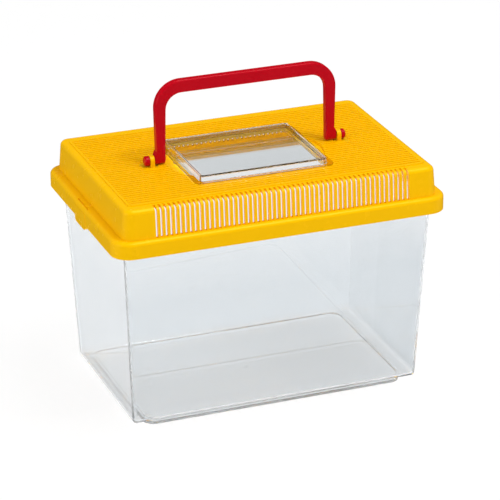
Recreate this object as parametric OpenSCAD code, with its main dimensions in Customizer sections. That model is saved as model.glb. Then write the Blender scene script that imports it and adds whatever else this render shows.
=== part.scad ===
// Plastic pet keeper: clear tank, vented lid, clear feeding cover and carry handle.
// Millimetres. The origin is under the middle of the tank, at the height of its foot.
// X runs along the length, Y from the front to the back, Z up.

/* [Tank] */
// Outside length of the tank's mouth
tank_l = 216; // [180:0.2:260]
// Outside width of the tank's mouth
tank_w = 132.8; // [120:0.2:170]
// Height of the rim above the table
tank_h = 137.4; // [90:0.2:200]
// How much shorter the tank is at its floor than at its mouth
taper_l = 12.2; // [4:0.2:20]
// How much narrower the tank is at its floor than at its mouth
taper_w = 14; // [4:0.2:20]
// Thickness of the tank's walls and floor
tank_wall = 1.6; // [1:0.1:2.2]
// Outside radius of the tank's upright edges
tank_edge_r = 3; // [2.5:0.1:6]
// Height of the foot panel that the tank stands on
foot_h = 3; // [2:0.1:5]
// Step from the tank's end walls in to the foot panel
foot_in_l = 8.9; // [4:0.1:14]
// Step from the tank's long walls in to the foot panel
foot_in_w = 2; // [1:0.1:6]
// Corner radius of the foot panel
foot_r = 9; // [4:0.5:20]
// Radius of the gate mark in the middle of the floor
gate_r = 1.7; // [1:0.1:3]
// Height of each of its two steps
gate_h = 0.3; // [0.2:0.1:0.6]

/* [Rim] */
// How far the rim stands out from the end walls
rim_out_l = 5.3; // [4:0.1:9]
// How far the rim stands out from the long walls
rim_out_w = 6.6; // [4:0.1:9]
// Thickness of the rim and of its lip
rim_t = 1.6; // [1.2:0.1:2.2]
// Height of the rim with its turned-down lip
rim_drop = 5.4; // [3:0.1:7]

/* [Lid] */
// Thickness of the lid's walls and top
lid_wall = 2; // [1.4:0.1:2.6]
// Gap between the tank's rim and the lid's skirt
skirt_gap = 1; // [0.6:0.1:1.6]
// Height of the skirt, from its lower edge to the ledge
skirt_h = 11.2; // [8:0.1:16]
// Thickness of the ledge that rests on the rim
ledge_t = 2.6; // [1.6:0.1:3]
// Corner radius of the skirt
skirt_r = 13; // [9:0.5:20]
// Rounding along the outer edge of the ledge
skirt_round = 2.8; // [1.5:0.1:4]
// Width of the ledge at the ends of the lid
ledge_l = 6.7; // [5:0.1:10]
// Width of the ledge along the front and back
ledge_w = 3.4; // [3:0.1:6]
// Height of the crown above the ledge
crown_h = 20.1; // [18:0.1:34]
// How far each wall of the crown leans in
crown_lean = 1.65; // [0.5:0.05:2]
// Radius of the crown's upright edges, at the ledge
crown_r = 7.6; // [5.5:0.1:10]
// Rounding along the crown's top edge
crown_round = 3.4; // [2.4:0.1:3.5]

/* [Vents] */
// Spacing of the vent slots
vent_pitch = 3.3; // [2.6:0.1:5]
// Width of one vent slot
vent_w = 1.5; // [0.8:0.1:2]
// Plain wall between the last slot and the end of the crown
vent_margin = 21.5; // [14:0.5:40]
// Height of the slots' lower ends above the ledge
vent_sill = 0.3; // [0.2:0.1:4]
// How far the front slots run on over the top
vent_wrap = 6.1; // [3.5:0.1:7]
// Height of the slots in the back wall
back_vent_h = 14; // [8:0.2:14.5]

/* [Ribbed top] */
// Height of the ribbed field above the border
field_h = 0.5; // [0.2:0.05:0.8]
// Border at the ends of the lid's top
field_in_l = 4.6; // [4:0.1:12]
// Border along the front and back of the lid's top
field_in_w = 8; // [7.5:0.1:16]
// Corner radius of the ribbed field
field_r = 3.5; // [2:0.5:10]
// Plain frame round the grooves
field_frame = 1.6; // [1:0.1:3]
// Spacing of the ribs
rib_pitch = 3.3; // [2.4:0.1:6]
// Width of the groove between two ribs
rib_groove = 1.4; // [0.6:0.1:1.8]

/* [Feeding cover] */
// Outside length of the cover's raised box, at its foot
cover_l = 89.6; // [60:0.2:110]
// Outside width of the cover's raised box, at its foot
cover_w = 73.2; // [50:0.2:84]
// How far the cover's middle lies in front of the lid's middle
cover_shift = 5.6; // [0:0.1:8]
// How far it lies to the left of that
cover_aside = 1.9; // [0:0.1:3]
// Height of the cover above its seat
cover_h = 4.6; // [3:0.1:8]
// Depth of the rim that plugs into the opening
plug_h = 3; // [2.2:0.1:5]
// Gap between that rim and the opening, on each side
plug_gap = 0.4; // [0.3:0.05:0.8]
// Thickness of the cover's walls and top
cover_wall = 1.2; // [0.8:0.1:1.6]
// Outside radius of the cover's upright edges
cover_r = 3; // [2:0.1:6]
// Rounding along the cover's top edge
cover_round = 0.9; // [0.4:0.1:1.2]
// How far each wall of the cover leans in
cover_lean = 0.4; // [0:0.05:0.6]
// Width of the flange that rests on the lid, at the front and the back
flange_w = 2.8; // [2:0.1:5]
// Width of the flange at its two ends
flange_end_w = 3.8; // [3:0.1:5]
// Thickness of that flange
flange_t = 1; // [0.8:0.1:1.6]
// Radius of the nib on the flange's left edge
nib_r = 1.1; // [0.6:0.1:1.8]

/* [Finger scoops] */
// Length of a scoop along the cover's side
scoop_l = 39; // [24:0.5:46]
// How far a scoop reaches out from under the flange
scoop_out = 5.7; // [4:0.1:6]
// Depth of a scoop below the seat
scoop_deep = 1.8; // [1:0.1:2.4]
// Thickness of the lid under a scoop
scoop_floor = 1.4; // [1:0.1:2]

/* [Handle] */
// Room between the cover's flange and a leg of the handle, with neither set aside
leg_room = 8.6; // [7:0.1:16]
// How far the handle and its ears lie to the right of the lid's middle
handle_aside = 0.6; // [0:0.1:1]
// Width of a leg at its foot, seen from the front
leg_w = 6.2; // [4:0.1:8]
// How much wider a leg is at its bend than at its foot
leg_flare = 1.2; // [0.4:0.1:2]
// Depth of the handle, front to back
handle_d = 5.8; // [4.4:0.1:5.8]
// Height of the grip bar
grip_h = 8.6; // [6:0.1:11]
// Outer radius of the handle's bends
bend_r = 18.4; // [14:0.2:26]
// Rounding along the handle's edges
bar_r = 1; // [0.6:0.1:1.7]
// Room between the folded handle's grip and the cover
fold_room = 0.6; // [0.6:0.1:6]

/* [Pivot] */
// Radius of the handle's pivot pins
pin_r = 2; // [1.4:0.1:2.2]
// Gap round a pin in its ear
pin_gap = 0.1; // [0.05:0.05:0.2]
// Radius of the pin's head
head_r = 3.3; // [3:0.1:3.8]
// Thickness of the pin's head
head_t = 3.1; // [1.4:0.1:4]
// Bevel round the pin's head
head_round = 0.7; // [0.3:0.1:1]
// Thickness of an ear
ear_t = 2.9; // [2:0.1:4]
// Radius of an ear's rounded top
ear_r = 3.6; // [3.4:0.1:5]
// How far a leg swells outwards at the pivot
boss_t = 1.5; // [1:0.1:3]
// Height over which the leg swells
boss_h = 6; // [4:0.2:10]
// Gap between an ear and the handle on each side of it
ear_gap = 0.3; // [0.2:0.05:0.5]
// Gap between the lid and the pin's head above it
head_clear = 0.4; // [0.3:0.05:1]
// Smooth margin round an ear, in the ribbed field
ear_margin = 2.4; // [1:0.1:4]

/* [Catch tabs] */
// Width of a catch tab
tab_w = 22; // [16:0.5:40]
// How far a tab hangs below the skirt
tab_drop = 3.6; // [2:0.1:6]
// Radius of a tab's lower corners
tab_r = 3.4; // [1:0.1:3.6]
// How far a tab stands proud of the skirt
tab_proud = 0.2; // [0.2:0.1:1]
// How far the bead inside a tab stands in
bead_in = 0.7; // [0.4:0.05:0.75]
// Length of that bead
bead_l = 15; // [8:0.5:15.5]
// Drop from the rim's lip to the bead
bead_gap = 0.3; // [0.2:0.05:0.6]
// Length of the groove in the ledge over a tab, which lets the tab bend
relief_l = 22; // [8:0.5:24]
// Width of that groove
relief_w = 1; // [0.6:0.1:1.6]
// Depth of that groove
relief_deep = 0.8; // [0.4:0.1:1]

/* [Hidden] */
$fn = 64;
over = 1;
sink = 0.5;
round_steps = 8;
bar_steps = 4;

tank_floor_l = tank_l - taper_l;
tank_floor_w = tank_w - taper_w;
foot_l = tank_floor_l - 2 * foot_in_l;
foot_w = tank_floor_w - 2 * foot_in_w;

rim_l = tank_l + 2 * rim_out_l;
rim_w = tank_w + 2 * rim_out_w;
skirt_in_l = rim_l + 2 * skirt_gap;
skirt_in_w = rim_w + 2 * skirt_gap;
skirt_l = skirt_in_l + 2 * lid_wall;
skirt_w = skirt_in_w + 2 * lid_wall;
skirt_in_r = skirt_r - lid_wall;
rim_r = skirt_in_r - skirt_gap;

ledge_z = tank_h + ledge_t;
skirt_z = ledge_z - skirt_h;
crown_l = skirt_l - 2 * ledge_l;
crown_w = skirt_w - 2 * ledge_w;
crown_top_l = crown_l - 2 * crown_lean;
crown_top_w = crown_w - 2 * crown_lean;
crown_z = ledge_z + crown_h;

field_l = crown_top_l - 2 * field_in_l;
field_w = crown_top_w - 2 * field_in_w;
seat_z = crown_z + field_h;

open_l = cover_l + 2 * plug_gap;
open_w = cover_w + 2 * plug_gap;
open_r = cover_r + plug_gap;
flange_l = cover_l + 2 * flange_end_w;
flange_d = cover_w + 2 * flange_w;
flange_r = cover_r + flange_w / 3;
seat_rim = 1;
cover_inner_round = 0.4;

// A scoop is a slice of a round pocket. Its chord lies along the flange's edge.
scoop_r = (pow(scoop_l / 2, 2) + pow(scoop_out, 2)) / (2 * scoop_out);
scoop_x = flange_l / 2 + scoop_out - scoop_r;

pivot_z = crown_z + head_clear + head_r;
leg_in = flange_l / 2 + leg_room;
leg_x = leg_in + leg_w / 2;
leg_out = leg_in + leg_w;
bend_w = leg_w + leg_flare;
boss_x = leg_out + boss_t;
ear_x = boss_x + ear_gap;
head_x = ear_x + ear_t + ear_gap;
bend_x = leg_x + bend_w / 2 - bend_r;
grip_in = flange_d / 2 + cover_shift + fold_room;
grip_out = grip_in + grip_h;
leg_top = grip_out - bend_r;

bead_z = tank_h - rim_drop - bead_gap - bead_in;
relief_x = skirt_in_l / 2 - relief_w;

// A rectangle with round corners, centred.
module round_rect(l, w, r) {
    square([l - 2 * r, w], center = true);
    square([l, w - 2 * r], center = true);
    for (sx = [-1, 1], sy = [-1, 1])
        translate([sx * (l / 2 - r), sy * (w / 2 - r)]) circle(r);
}

module round_plate(l, w, r, h) {
    linear_extrude(h) round_rect(l, w, r);
}

// Section of a wall that leans in by lean over the height h, with its top edge rounded.
// It starts on the axis of the corner, r away from the wall's foot.
module wall_section(r, h, lean, edge) {
    angle = atan(lean / h);
    cz = h - edge;
    cx = r - lean * cz / h - edge / cos(angle);
    rounding = [for (i = [0 : round_steps]) let (a = angle + (90 - angle) * i / round_steps)
        [cx + edge * cos(a), cz + edge * sin(a)]];
    polygon(concat([[0, 0], [r, 0]], rounding, [[0, h]]));
}

// A box whose four walls all have that section: quarter-turned corners and extruded sides.
module cap_box(l, w, r, h, lean, edge) {
    for (mx = [0, 1], my = [0, 1]) mirror([mx, 0, 0]) mirror([0, my, 0])
        translate([l / 2 - r, w / 2 - r, 0]) rotate_extrude(angle = 90) wall_section(r, h, lean, edge);
    rotate([90, 0, 90]) cap_side(w, l, r, h, lean, edge);
    rotate([90, 0, 0]) cap_side(l, w, r, h, lean, edge);
}

module cap_side(across, along, r, h, lean, edge) {
    linear_extrude(along - 2 * r, center = true) {
        translate([r - across / 2, 0]) square([across - 2 * r, h]);
        for (side = [0, 1])
            mirror([side, 0]) translate([across / 2 - r, 0]) wall_section(r, h, lean, edge);
    }
}

// Four copies of a child at the corners of a rectangle, stretched into one drafted body.
module at_corners(l, w, r) {
    for (sx = [-1, 1], sy = [-1, 1])
        translate([sx * (l / 2 - r), sy * (w / 2 - r), 0]) children();
}

module drafted_tub(top_l, top_w, floor_l, floor_w, r, z_floor, z_top) {
    hull() {
        translate([0, 0, z_top - 0.01]) at_corners(top_l, top_w, r) cylinder(r = r, h = 0.01, $fn = 32);
        translate([0, 0, z_floor + r]) at_corners(floor_l, floor_w, r) sphere(r, $fn = 32);
    }
}

module tank_shell_outside() {
    drafted_tub(tank_l, tank_w, tank_floor_l, tank_floor_w, tank_edge_r, foot_h, tank_h);
    round_plate(foot_l, foot_w, foot_r, foot_h + tank_wall);
    translate([0, 0, tank_h - rim_t]) round_plate(rim_l, rim_w, rim_r, rim_t);
    translate([0, 0, tank_h - rim_drop]) linear_extrude(rim_drop) difference() {
        round_rect(rim_l, rim_w, rim_r);
        round_rect(rim_l - 2 * rim_t, rim_w - 2 * rim_t, rim_r - rim_t);
    }
}

// The inside follows the outside, one wall thickness in.
module tank_shell_inside() {
    lean_l = taper_l / (tank_h - foot_h) * over;
    lean_w = taper_w / (tank_h - foot_h) * over;
    drafted_tub(tank_l - 2 * tank_wall + lean_l, tank_w - 2 * tank_wall + lean_w,
        tank_floor_l - 2 * tank_wall, tank_floor_w - 2 * tank_wall,
        tank_edge_r - tank_wall, foot_h + tank_wall, tank_h + over);
    translate([0, 0, tank_wall])
        round_plate(foot_l - 2 * tank_wall, foot_w - 2 * tank_wall, foot_r - tank_wall, foot_h + tank_wall);
}

module tank() {
    color([0.90, 0.93, 0.94, 0.4]) {
        difference() {
            tank_shell_outside();
            tank_shell_inside();
        }
        translate([0, 0, tank_wall - sink]) {
            cylinder(r = gate_r, h = sink + gate_h);
            cylinder(r = gate_r / 2, h = sink + 2 * gate_h);
        }
    }
}

module lid_shell() {
    difference() {
        union() {
            translate([0, 0, skirt_z]) cap_box(skirt_l, skirt_w, skirt_r, skirt_h, 0, skirt_round);
            translate([0, 0, ledge_z]) cap_box(crown_l, crown_w, crown_r, crown_h, crown_lean, crown_round);
        }
        translate([0, 0, skirt_z - over])
            round_plate(skirt_in_l, skirt_in_w, skirt_in_r, tank_h - skirt_z + over);
        translate([0, 0, tank_h])
            cap_box(crown_l - 2 * lid_wall, crown_w - 2 * lid_wall, crown_r - lid_wall,
                ledge_t + crown_h - lid_wall, crown_lean, crown_round - lid_wall);
    }
}

// Raised field on the lid's top, grooved from end to end outside the cover's seat,
// and left out round the ears.
module rib_field() {
    count = floor((field_w - 2 * field_frame) / rib_pitch / 2);
    clear_w = 2 * (ear_r + ear_margin);
    translate([0, 0, crown_z - sink]) linear_extrude(field_h + sink) difference() {
        round_rect(field_l, field_w, field_r);
        translate([handle_aside, 0]) for (side = [0, 1]) mirror([side, 0])
            translate([boss_x - ear_margin, -clear_w / 2])
                square([head_x + head_t - boss_x + 2 * ear_margin, clear_w]);
        difference() {
            intersection() {
                round_rect(field_l - 2 * field_frame, field_w - 2 * field_frame, field_r - field_frame);
                for (i = [-count : count])
                    translate([0, i * rib_pitch]) square([field_l, rib_groove], center = true);
            }
            translate([-cover_aside, -cover_shift])
                round_rect(flange_l + 2 * seat_rim, flange_d + 2 * seat_rim, flange_r + seat_rim);
        }
    }
}

// Outline of the scoops, widened by the value grow.
module scoop_outline(grow) {
    translate([-cover_aside, -cover_shift]) for (side = [0, 1]) mirror([side, 0])
        intersection() {
            translate([scoop_x, 0]) circle(scoop_r + grow);
            translate([open_l / 2 - sink, -scoop_r]) square([2 * flange_end_w + 2 * scoop_out, 2 * scoop_r]);
        }
}

module ear() {
    translate([ear_x, 0, 0]) rotate([90, 0, 90]) linear_extrude(ear_t) difference() {
        union() {
            translate([-ear_r, crown_z - sink]) square([2 * ear_r, pivot_z - crown_z + sink]);
            translate([0, pivot_z]) circle(ear_r);
        }
        translate([0, pivot_z]) circle(pin_r + pin_gap);
    }
}

// A catch tab: a tongue that carries the skirt down, with a bead inside it.
module catch_tab() {
    translate([skirt_in_l / 2, 0, 0]) {
        rotate([90, 0, 90]) linear_extrude(lid_wall + tab_proud) {
            translate([-tab_w / 2, skirt_z - tab_drop + tab_r])
                square([tab_w, skirt_h + tab_drop - tab_r - skirt_round - sink]);
            translate([-tab_w / 2 + tab_r, skirt_z - tab_drop]) square([tab_w - 2 * tab_r, 2 * tab_r]);
            for (side = [-1, 1])
                translate([side * (tab_w / 2 - tab_r), skirt_z - tab_drop + tab_r]) circle(tab_r);
        }
        translate([0, 0, bead_z]) rotate([90, 0, 0]) cylinder(r = bead_in, h = bead_l, center = true);
    }
}

module vents() {
    gaps = floor((crown_l - 2 * vent_margin) / vent_pitch);
    sill_z = ledge_z + vent_sill;
    for (i = [0 : gaps]) translate([(i - gaps / 2) * vent_pitch - vent_w / 2, 0, sill_z]) {
        translate([0, -crown_w / 2 - over, 0])
            cube([vent_w, crown_lean + vent_wrap + over, crown_h]);
        translate([0, crown_top_w / 2 - lid_wall - over, 0])
            cube([vent_w, crown_lean + lid_wall + 2 * over, back_vent_h]);
    }
}

module lid() {
    color([0.97, 0.73, 0.0]) difference() {
        union() {
            lid_shell();
            rib_field();
            translate([0, 0, seat_z - scoop_deep - scoop_floor])
                linear_extrude(scoop_deep + scoop_floor - field_h - sink) scoop_outline(scoop_floor);
            translate([handle_aside, 0, 0]) for (side = [0, 1]) mirror([side, 0, 0]) ear();
            for (side = [0, 1]) mirror([side, 0, 0]) catch_tab();
        }
        vents();
        translate([-cover_aside, -cover_shift, seat_z - lid_wall - field_h - over])
            round_plate(open_l, open_w, open_r, lid_wall + field_h + 2 * over);
        translate([0, 0, seat_z - scoop_deep]) linear_extrude(scoop_deep + over) scoop_outline(0);
        for (side = [0, 1]) mirror([side, 0, 0])
            translate([relief_x, -relief_l / 2, ledge_z - relief_deep])
                cube([relief_w, relief_l, over + relief_deep]);
    }
}

module feeding_cover() {
    color([0.92, 0.94, 0.95, 0.4]) translate([-cover_aside, -cover_shift, seat_z]) {
        difference() {
            union() {
                translate([0, 0, -plug_h])
                    cap_box(cover_l, cover_w, cover_r, plug_h + cover_h, cover_lean, cover_round);
                round_plate(flange_l, flange_d, flange_r, flange_t);
            }
            translate([0, 0, -plug_h - over])
                cap_box(cover_l - 2 * cover_wall, cover_w - 2 * cover_wall, cover_r - cover_wall,
                    plug_h + cover_h + over - cover_wall, cover_lean, cover_inner_round);
        }
        translate([-flange_l / 2, cover_shift / 2, 0]) cylinder(r = nib_r, h = flange_t);
    }
}

// Section of the handle, w wide, with its four edges rounded.
module bar_section(w) {
    corners = [[1, 1], [-1, 1], [-1, -1], [1, -1]];
    middle = [w / 2 - bar_r, handle_d / 2 - bar_r];
    polygon([for (k = [0 : 3], i = [0 : bar_steps]) let (a = 90 * (k + i / bar_steps))
        [corners[k].x * middle.x + bar_r * cos(a), corners[k].y * middle.y + bar_r * sin(a)]]);
}

// A leg, which widens evenly from its foot to its bend.
module leg() {
    translate([leg_x, 0, 0]) {
        linear_extrude(boss_h) bar_section(leg_w);
        hull() {
            translate([0, 0, boss_h - 0.01]) linear_extrude(0.01) bar_section(leg_w);
            translate([0, 0, leg_top - 0.01]) linear_extrude(0.01) bar_section(bend_w);
        }
    }
}

// A quarter turn from a leg, at height z, in to the grip.
module bend(z) {
    translate([bend_x, 0, z]) rotate([90, 0, 0]) rotate_extrude(angle = 90)
        translate([bend_r - bend_w / 2, 0]) bar_section(bend_w);
}

// The eye of a leg, turned about the pivot, and the swelling above it that runs out at boss_h.
module eye() {
    eye_w = boss_x - leg_in;
    rotate([0, 90, 0]) translate([0, 0, leg_in]) rotate_extrude() intersection() {
        translate([0, eye_w / 2]) rotate(90) bar_section(eye_w);
        square([handle_d, eye_w]);
    }
    intersection() {
        translate([leg_in + eye_w / 2, 0, 0]) linear_extrude(boss_h) bar_section(eye_w);
        rotate([90, 0, 0]) linear_extrude(2 * handle_d, center = true)
            polygon([[leg_x, 0], [boss_x, 0], [boss_x, boss_h / 2], [leg_out, boss_h], [leg_x, boss_h]]);
    }
}

// The pin through the ear, with its head.
module pivot_pin() {
    rotate([0, 90, 0]) {
        translate([0, 0, boss_x - over]) cylinder(r = pin_r, h = head_x - boss_x + 2 * over);
        translate([0, 0, head_x]) cylinder(r = head_r, h = head_t - head_round);
        translate([0, 0, head_x + head_t - head_round])
            cylinder(r1 = head_r, r2 = head_r - head_round, h = head_round);
    }
}

// The grip is deeper than a leg is wide, so each corner is the same bend made twice,
// the one below the other.
module handle() {
    color([0.78, 0.03, 0.13]) translate([handle_aside, 0, pivot_z]) {
        for (side = [0, 1]) mirror([side, 0, 0]) {
            leg();
            bend(leg_top);
            bend(grip_in + bend_w - bend_r);
            eye();
            pivot_pin();
        }
        translate([0, 0, grip_in + grip_h / 2]) rotate([0, 90, 0])
            linear_extrude(2 * bend_x, center = true) bar_section(grip_h);
    }
}

tank();
lid();
feeding_cover();
handle();
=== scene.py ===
"""Looks of a plastic pet keeper: clear tank, yellow vented lid, clear feeding cover and red carry handle.

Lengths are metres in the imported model's frame: X along the keeper, Y to its back, Z up from the table. The
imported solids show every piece, so the script adds only their finishes, the stage, the lamps and the camera.
"""

import bpy
import numpy as np
from mathutils import Matrix

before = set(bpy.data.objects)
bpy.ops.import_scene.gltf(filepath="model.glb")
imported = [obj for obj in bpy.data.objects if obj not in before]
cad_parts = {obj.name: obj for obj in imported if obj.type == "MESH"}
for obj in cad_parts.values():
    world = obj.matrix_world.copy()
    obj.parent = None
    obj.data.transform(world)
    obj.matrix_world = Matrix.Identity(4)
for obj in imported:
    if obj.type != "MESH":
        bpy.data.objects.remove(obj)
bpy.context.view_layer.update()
scene = bpy.context.scene

# Camera: a long lens, a little above the keeper and to the left of its vented front. Angles are degrees.
VIEW_AZIMUTH = -21.0
VIEW_ELEVATION = 23.21
VIEW_ROLL = -0.25
VIEW_DISTANCE = 1.8383
VIEW_TARGET = (0.0, 0.0, 0.09)
VIEW_SIDE = 0.00332
VIEW_RISE = -0.00084
VIEW_FAR = 20.0
FRAME_PX = 500
FOCAL_PX = 2708.9
SENSOR_MM = 36.0

# Moulded colours, linear
LID_YELLOW = (0.98, 0.545, 0.0)
LID_YELLOW_DEEP = (0.97, 0.52, 0.0)
# Painted shade: the groove floors of the lid's ribbed field, darkened as if shaded in their recesses
LID_GROOVE_SHADE = (0.87, 0.49, 0.0)
LID_GLINT = (1.0, 0.78, 0.12)
HANDLE_RED = (0.54, 0.0, 0.010)
HANDLE_RED_DEEP = (0.50, 0.0, 0.008)
HANDLE_GLINT = (1.0, 0.6, 0.65)

# Moulded surface: roughness and specular level of each piece, how far satin mottling swings the roughness,
# and the grain's strength and depth. Scales are features a metre.
LID_ROUGHNESS = 0.27
LID_SPECULAR = 0.4
HANDLE_ROUGHNESS = 0.28
HANDLE_SPECULAR = 0.2
MOULDED_IOR = 1.5
DRIFT_SCALE = 22.0
MOTTLE_SCALE = 120.0
MOTTLE_SWING = 0.03
GRAIN_SCALE = 2400.0
GRAIN_STRENGTH = 0.03
GRAIN_DEPTH = 0.0001

# The lid's ribbed field, whose groove floors get painted shade: half its length and width, the level of its
# groove floors and how near counts as on
RIBS_HALF_L = 0.1035
RIBS_HALF_W = 0.0625
GROOVE_Z = 0.1601
GROOVE_BAND = 0.0002

# Clear plastic: tints, linear, from pale at the top to deep at the bottom, and the heights between which
# they turn
TANK_TINT = (0.96, 0.965, 0.968)
TANK_TINT_DEEP = (0.795, 0.83, 0.855)
COVER_TINT = (0.87, 0.895, 0.905)
COVER_TINT_DEEP = (0.85, 0.875, 0.885)
TINT_FULL = 0.09
TINT_FAINT = 0.15
CLEAR_IOR = 1.46
CLEAR_SHADOW = (0.97, 0.972, 0.975)
TANK_SPECULAR = 0.5
COVER_SPECULAR = 0.3

# Share of the light that the tank's walls refract, and the heights between which they take over from its floor
TANK_REFRACTING = 0.8
FLOOR_TOP = 0.006
WALL_FROM = 0.009

# The tank's floor: how much paler its tint is, and the share, colour and surface of its haze
FLOOR_PALER = 0.6
TANK_HAZE = 0.06
HAZE_WHITE = (0.88, 0.93, 0.97)
HAZE_ROUGHNESS = 0.5
HAZE_SPECULAR = 0.2

# Flow waves on clear plastic, and clouds in its tint. Scales are features a metre.
FLOW_SCALE = 18.0
FLOW_STRENGTH = 0.12
FLOW_DEPTH = 0.0004
CLOUD_SCALE = 90.0
CLOUD_SHARE = 0.3

# Room: its light on the pieces, and the dark ceiling that clear plastic and moulded gloss show
WHITE = (1.0, 1.0, 1.0)
ROOM_LIGHT = 0.6
CEILING_LIGHT = 0.03
CEILING_TINT = (1.0, 0.8, 0.4)
WHITE_UP_TO = 0.1
DARK_FROM = 0.3

# Stage paper: its colour, and how strongly it glows towards the camera
PAPER_GREY = (0.9, 0.9, 0.9)
PAPER_GLOW = 1.03
GLOW_SHARE = 0.85

# Lamps: name, place, width, height and watts
LAMP_TARGET = (0.0, 0.0, 0.12)
LAMPS = (
    ("top_softbox", (0.35, -0.3, 1.6), 0.8, 0.7, 11.0),
    ("edge_lamp", (0.56, -0.66, 1.58), 0.25, 0.2, 4.0),
    ("front_softbox", (0.5, -1.8, 0.8), 0.9, 0.9, 0.3),
    ("left_softbox", (-1.6, -0.3, 0.6), 0.8, 0.8, 6.0),
)
INSIDE_LAMP = ("inside_lamp", (0.0, 0.0, 0.02), 0.16, 0.09, 0.25)
UPRIGHT_BELOW = 1e-6

# Stage sheet
FLOOR_LEVEL = -0.0004
FLOOR_HALF_WIDTH = 3.0
FLOOR_FRONT = -2.5
BACKDROP_Y = 2.2
BACKDROP_TOP = 2.6
BACKDROP_BEND = 0.8
BEND_POINTS = 24

# Enough bounces for light to pass the cover, the lid's hollow and both walls of the tank
CLEAR_BOUNCES = 32


class Value:
    """A shader socket that takes part in Python arithmetic: each operator adds its Math node."""

    def __init__(self, finish, socket):
        self.finish = finish
        self.socket = socket

    def _math(self, operation, first, second):
        return self.finish.node("ShaderNodeMath", {"operation": operation}, {0: first, 1: second})

    def __add__(self, other):
        return self._math("ADD", self, other)

    def __mul__(self, other):
        return self._math("MULTIPLY", self, other)

    def __rsub__(self, other):
        return self._math("SUBTRACT", other, self)

    __radd__ = __add__
    __rmul__ = __mul__


class Finish:
    """A material or world under construction."""

    def __init__(self, owner):
        owner.use_nodes = True
        self.tree = owner.node_tree
        self.tree.nodes.clear()

    def node(self, kind, settings=None, inputs=None, output=0):
        """Adds one node: its settings first, then the values or links of its sockets. Returns one output."""
        made = self.tree.nodes.new(kind)
        for name, value in (settings or {}).items():
            setattr(made, name, value)
        for name, value in (inputs or {}).items():
            if isinstance(value, Value):
                self.tree.links.new(value.socket, made.inputs[name])
            else:
                made.inputs[name].default_value = value
        return Value(self, made.outputs[output]) if made.outputs else None

    def place(self):
        """The point's place on its object."""
        return self.node("ShaderNodeTexCoord", output="Object")

    def parts(self, vector):
        """The three numbers of a vector."""
        return [self.node("ShaderNodeSeparateXYZ", {}, {0: vector}, output=k) for k in range(3)]

    def noise(self, place, scale, detail):
        """Soft noise from 0 to 1; scale is in features a metre."""
        inputs = {"Vector": place, "Scale": scale, "Detail": detail}
        return self.node("ShaderNodeTexNoise", {"noise_dimensions": "3D"}, inputs)

    def least(self, first, second):
        return self.node("ShaderNodeMath", {"operation": "MINIMUM"}, {0: first, 1: second})

    def near(self, value, middle, reach):
        """1 where the value lies no further than reach from middle, 0 elsewhere."""
        return self.node("ShaderNodeMath", {"operation": "COMPARE"}, {0: value, 1: middle, 2: reach})

    def ramp(self, value, start, end, first, last):
        """Runs from first to last while the value goes from start to end, and stays there beyond them."""
        return self.node("ShaderNodeMapRange", {}, {0: value, 1: start, 2: end, 3: first, 4: last})

    def bump(self, height, strength, depth):
        """A normal turned by the slope of height."""
        return self.node("ShaderNodeBump", {}, {"Strength": strength, "Distance": depth, "Height": height})

    def blend(self, share, first, second):
        """Colour mix: first where share is 0, second where it is 1."""
        ends = [end if isinstance(end, Value) else end + (1.0,) for end in (first, second)]
        inputs = {"Factor": share, 6: ends[0], 7: ends[1]}
        return self.node("ShaderNodeMix", {"data_type": "RGBA"}, inputs, output=2)

    def mix(self, share, first, second):
        """Mix of two surfaces: first where share is 0, second where it is 1."""
        return self.node("ShaderNodeMixShader", {}, {0: share, 1: first, 2: second})


def new_finish(name):
    material = bpy.data.materials.new(name)
    return material, Finish(material)


def moulded_plastic(name, colour, deep, glint, roughness, specular, groove_shade=None):
    """Opaque moulded plastic: slow colour drift, satin mottling and a fine spark-eroded grain. Where a groove
    shade colour is given, the groove floors of the ribbed field turn to it: painted shade in their recesses."""
    material, finish = new_finish(name)
    place = finish.place()
    drift = finish.noise(place, DRIFT_SCALE, 3.0)
    mottle = finish.noise(place, MOTTLE_SCALE, 3.0)
    fine = finish.noise(place, GRAIN_SCALE, 2.0)
    shade = finish.blend(drift, colour, deep)
    # Painted shade: the groove floors of the ribbed field take the darker groove shade colour
    if groove_shade:
        along, across, height = finish.parts(place)
        field = finish.near(along, 0.0, RIBS_HALF_L) * finish.near(across, 0.0, RIBS_HALF_W)
        shade = finish.blend(field * finish.near(height, GROOVE_Z, GROOVE_BAND), shade, groove_shade)
    surface = finish.node("ShaderNodeBsdfPrincipled", {}, {
        "Base Color": shade,
        "Roughness": mottle * MOTTLE_SWING + (roughness - MOTTLE_SWING / 2),
        "IOR": MOULDED_IOR,
        "Specular IOR Level": specular,
        "Specular Tint": glint + (1.0,),
        "Normal": finish.bump(fine, GRAIN_STRENGTH, GRAIN_DEPTH),
    })
    finish.node("ShaderNodeOutputMaterial", {}, {"Surface": surface})
    return material


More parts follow.
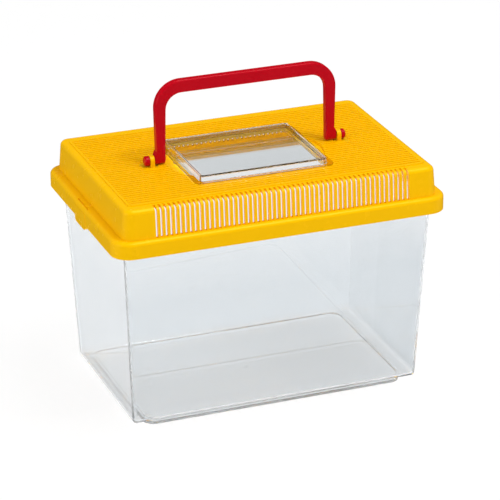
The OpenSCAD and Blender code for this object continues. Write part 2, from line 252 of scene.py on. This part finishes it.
def clear_plastic(name, tint, deep, specular, haze_share, refracting):
    """Clear moulded plastic: real refraction, a cloudy tint that deepens downwards, faint flow waves, and a
    paler tint and a fine haze on the floor. Above the floor, the share called refracting bends the light and
    the rest lets it straight through, which keeps the upright corners pale. Lamps shine through it."""
    material, finish = new_finish(name)
    place = finish.place()
    height = finish.parts(place)[2]
    flow = finish.noise(place, FLOW_SCALE, 2.0)
    cloud = finish.noise(place, CLOUD_SCALE, 4.0)
    low = finish.ramp(height, TINT_FULL, TINT_FAINT, 1.0, 0.0)
    floor = finish.ramp(height, FLOOR_TOP, WALL_FROM, 1.0, 0.0)
    depth = low * (cloud * CLOUD_SHARE + (1.0 - CLOUD_SHARE / 2)) * (1.0 - floor * FLOOR_PALER)
    clear = finish.node("ShaderNodeBsdfPrincipled", {}, {
        "Base Color": finish.blend(depth, tint, deep),
        "Roughness": 0.0,
        "IOR": CLEAR_IOR,
        "Specular IOR Level": specular,
        "Transmission Weight": 1.0,
        "Alpha": floor * (1.0 - refracting) + refracting,
        "Normal": finish.bump(flow, FLOW_STRENGTH, FLOW_DEPTH),
    })
    haze = finish.node("ShaderNodeBsdfPrincipled", {}, {
        "Base Color": HAZE_WHITE + (1.0,),
        "Roughness": HAZE_ROUGHNESS,
        "Specular IOR Level": HAZE_SPECULAR,
    })
    lamp_light = finish.node("ShaderNodeBsdfTransparent", {}, {"Color": CLEAR_SHADOW + (1.0,)})
    is_shadow = finish.node("ShaderNodeLightPath", output="Is Shadow Ray")
    mixed = finish.mix(is_shadow, finish.mix(floor * haze_share, clear, haze), lamp_light)
    finish.node("ShaderNodeOutputMaterial", {}, {"Surface": mixed})
    return material


def ray_path(finish):
    """What a ray is for, as shares from 0 to 1: the camera, a sight through or a sharp reflection off clear
    plastic, and a blurred reflection off the moulded colours. It is none of them where it lights the object."""
    camera, sharp, gloss, through = [finish.node("ShaderNodeLightPath", output="Is " + kind + " Ray")
                                     for kind in ("Camera", "Singular", "Glossy", "Transmission")]
    lights = finish.node("ShaderNodeLightPath", output="Diffuse Depth")
    clear = finish.least(sharp + through, 1.0)
    first = 1.0 - finish.least(lights, 1.0)
    return camera, clear * first, gloss * (1.0 - clear) * first


def stage_paper():
    """White paper that glows towards the camera, so that it stays white and still takes a soft shadow. Clear
    plastic shows it white too, up to the height where a studio's dark ceiling begins, and blurred gloss shows it
    dark."""
    material, finish = new_finish("stage_paper")
    height = finish.parts(finish.place())[2]
    high = finish.ramp(height, WHITE_UP_TO, DARK_FROM, 0.0, 1.0)
    paper = finish.node("ShaderNodeBsdfDiffuse", {}, {"Color": PAPER_GREY + (1.0,)})
    glow, ceiling, warm_ceiling = [
        finish.node("ShaderNodeEmission", {}, {"Color": colour + (1.0,), "Strength": strength})
        for colour, strength in ((WHITE, PAPER_GLOW), (WHITE, CEILING_LIGHT), (CEILING_TINT, CEILING_LIGHT))]
    camera, clear, gloss = ray_path(finish)
    white = finish.mix(camera * GLOW_SHARE + clear, paper, glow)
    shown = finish.mix(gloss, finish.mix(clear * high, white, ceiling), warm_ceiling)
    finish.node("ShaderNodeOutputMaterial", {}, {"Surface": shown})
    return material


def studio_world():
    """Even room light on the pieces. The camera sees it white, clear plastic and gloss see a dark ceiling."""
    world = bpy.data.worlds.new("studio")
    finish = Finish(world)
    room, seen, ceiling, warm_ceiling = [
        finish.node("ShaderNodeBackground", {}, {"Color": colour + (1.0,), "Strength": strength})
        for colour, strength in ((WHITE, ROOM_LIGHT), (WHITE, 1.0), (WHITE, CEILING_LIGHT),
                                 (CEILING_TINT, CEILING_LIGHT))]
    camera, clear, gloss = ray_path(finish)
    shown = finish.mix(gloss, finish.mix(clear, finish.mix(camera, room, seen), ceiling), warm_ceiling)
    finish.node("ShaderNodeOutputWorld", {}, {"Surface": shown})
    return world


def surface_mesh(name, grid):
    """A mesh object from a grid of points, shape (rows, columns, 3); faces join neighbouring points."""
    rows, columns = grid.shape[:2]
    index = np.arange(rows * columns).reshape(rows, columns)
    faces = np.stack([index[:-1, :-1], index[:-1, 1:], index[1:, 1:], index[1:, :-1]], axis=-1).reshape(-1, 4)
    mesh = bpy.data.meshes.new(name)
    mesh.from_pydata(grid.reshape(-1, 3).tolist(), [], faces.tolist())
    mesh.shade_smooth()
    made = bpy.data.objects.new(name, mesh)
    scene.collection.objects.link(made)
    return made


def make_stage():
    """Floor and backdrop in one sheet: a profile of a straight floor, a quarter circle and a straight wall,
    carried straight along X."""
    turn = np.linspace(0.0, np.pi / 2, BEND_POINTS)
    bend_y = BACKDROP_Y - BACKDROP_BEND + BACKDROP_BEND * np.sin(turn)
    bend_z = FLOOR_LEVEL + BACKDROP_BEND - BACKDROP_BEND * np.cos(turn)
    profile_y = np.concatenate([[FLOOR_FRONT], bend_y, [BACKDROP_Y]])
    profile_z = np.concatenate([[FLOOR_LEVEL], bend_z, [BACKDROP_TOP]])
    across = np.linspace(-FLOOR_HALF_WIDTH, FLOOR_HALF_WIDTH, 3)
    grid = np.zeros((len(profile_y), len(across), 3))
    grid[..., 0] = across[None, :]
    grid[..., 1] = profile_y[:, None]
    grid[..., 2] = profile_z[:, None]
    stage = surface_mesh("stage_sheet", grid)
    stage.data.materials.append(stage_paper())


def add_turned(name, data, side, up, back, place):
    """Adds a camera or lamp that looks against back, with up as its top."""
    turned = np.eye(4)
    turned[:3, 0], turned[:3, 1], turned[:3, 2], turned[:3, 3] = side, up, back, place
    added = bpy.data.objects.new(name, data)
    added.matrix_world = Matrix(turned.tolist())
    scene.collection.objects.link(added)
    return added


def make_camera():
    """The camera stands off the target along its azimuth and elevation, is rolled about that line, and is then
    moved a little to its side and up."""
    azimuth, elevation, roll = np.radians([VIEW_AZIMUTH, VIEW_ELEVATION, VIEW_ROLL])
    level = np.array([np.cos(azimuth), np.sin(azimuth), 0.0])
    outward = np.array([np.sin(azimuth), -np.cos(azimuth), 0.0])
    back = outward * np.cos(elevation) + np.array([0.0, 0.0, np.sin(elevation)])
    upright = np.cross(back, level)
    side = level * np.cos(roll) + upright * np.sin(roll)
    up = upright * np.cos(roll) - level * np.sin(roll)
    place = np.array(VIEW_TARGET) + back * VIEW_DISTANCE + side * VIEW_SIDE + up * VIEW_RISE
    data = bpy.data.cameras.new("camera")
    data.sensor_width = SENSOR_MM
    data.lens = FOCAL_PX / FRAME_PX * SENSOR_MM
    data.clip_end = VIEW_FAR
    scene.camera = add_turned("camera", data, side, up, back, place)


def softbox(name, place, width, height, power):
    """A rectangular lamp that faces the lamps' target. One that shines straight up keeps its width along X."""
    data = bpy.data.lights.new(name, "AREA")
    data.shape = "RECTANGLE"
    data.size = width
    data.size_y = height
    data.energy = power
    back = np.array(place) - np.array(LAMP_TARGET)
    back /= np.linalg.norm(back)
    side = np.cross((0.0, 0.0, 1.0), back)
    tilt = np.linalg.norm(side)
    side = side / tilt if tilt > UPRIGHT_BELOW else np.array([1.0, 0.0, 0.0])
    return add_turned(name, data, side, np.cross(back, side), back, place)


def make_light():
    """The room, its lamps, and a small lamp in the tank that lights the lid's hollow and is not seen itself."""
    scene.world = studio_world()
    for lamp in LAMPS:
        softbox(*lamp)
    inside = softbox(*INSIDE_LAMP)
    inside.visible_camera = False
    inside.visible_glossy = False
    inside.visible_transmission = False


def dress(node, material):
    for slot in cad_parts[node].material_slots:
        slot.material = material


make_camera()
make_stage()
make_light()
dress("tank", clear_plastic("clear_tank", TANK_TINT, TANK_TINT_DEEP, TANK_SPECULAR, TANK_HAZE,
                            TANK_REFRACTING))
dress("feeding_cover", clear_plastic("clear_cover", COVER_TINT, COVER_TINT_DEEP, COVER_SPECULAR, 0.0, 1.0))
dress("lid", moulded_plastic("yellow_lid", LID_YELLOW, LID_YELLOW_DEEP, LID_GLINT, LID_ROUGHNESS, LID_SPECULAR,
                             LID_GROOVE_SHADE))
dress("handle", moulded_plastic("red_handle", HANDLE_RED, HANDLE_RED_DEEP, HANDLE_GLINT, HANDLE_ROUGHNESS,
                                HANDLE_SPECULAR))

scene.cycles.max_bounces = CLEAR_BOUNCES
scene.cycles.transmission_bounces = CLEAR_BOUNCES
scene.cycles.glossy_bounces = CLEAR_BOUNCES
scene.cycles.transparent_max_bounces = CLEAR_BOUNCES
scene.view_settings.view_transform = "Standard"
